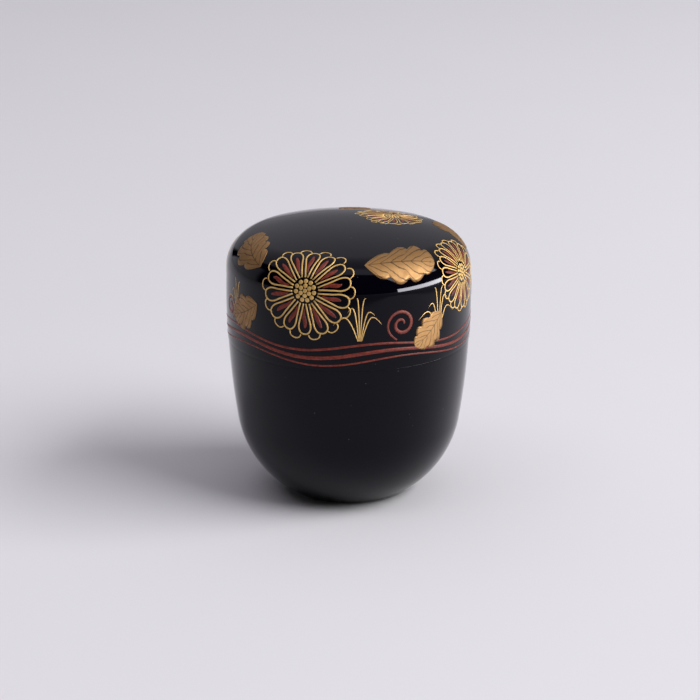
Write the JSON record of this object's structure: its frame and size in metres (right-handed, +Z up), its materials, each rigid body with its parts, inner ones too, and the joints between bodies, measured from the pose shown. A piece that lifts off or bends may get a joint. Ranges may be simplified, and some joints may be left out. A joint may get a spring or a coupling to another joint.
{
  "type": "tea caddy",
  "caption": "Round black-lacquered wooden caddy for powdered tea, with a rounded body on a small foot and a deep, gently domed lid that lifts off and turns on a lip.",
  "frame": {"origin": "middle of the foot's rest plane, on the turning axis", "axes": "+Z up along the turning axis, -Y towards the front of the decoration, +X to its right"},
  "size_m": [0.0666, 0.0666, 0.076],
  "materials": {
    "turned_wood": "bare turned wood",
    "black_lacquer": "polished",
    "gold_powder": "satin, burnished",
    "red_lacquer": "satin"
  },
  "bodies": {
    "caddy_body": {"body_core": "turned_wood", "body_outer_lacquer": "black_lacquer", "body_inner_lacquer": "black_lacquer", "foot_lacquer": "black_lacquer"},
    "lid_lining": {"lid_inner_lacquer": "black_lacquer"},
    "lid": {"lid_core": "turned_wood", "lid_outer_lacquer": "black_lacquer"}
  },
  "joints": [
    {"name": "lid_lift", "type": "slide", "parent": "caddy_body", "child": "lid_lining", "axis": [0, 0, 1], "range_m": [0, 0.05]},
    {"name": "lid_turn", "type": "hinge", "parent": "lid_lining", "child": "lid", "pos_m": [0, 0, 0.0438], "axis": [0, 0, 1], "continuous": true}
  ]
}
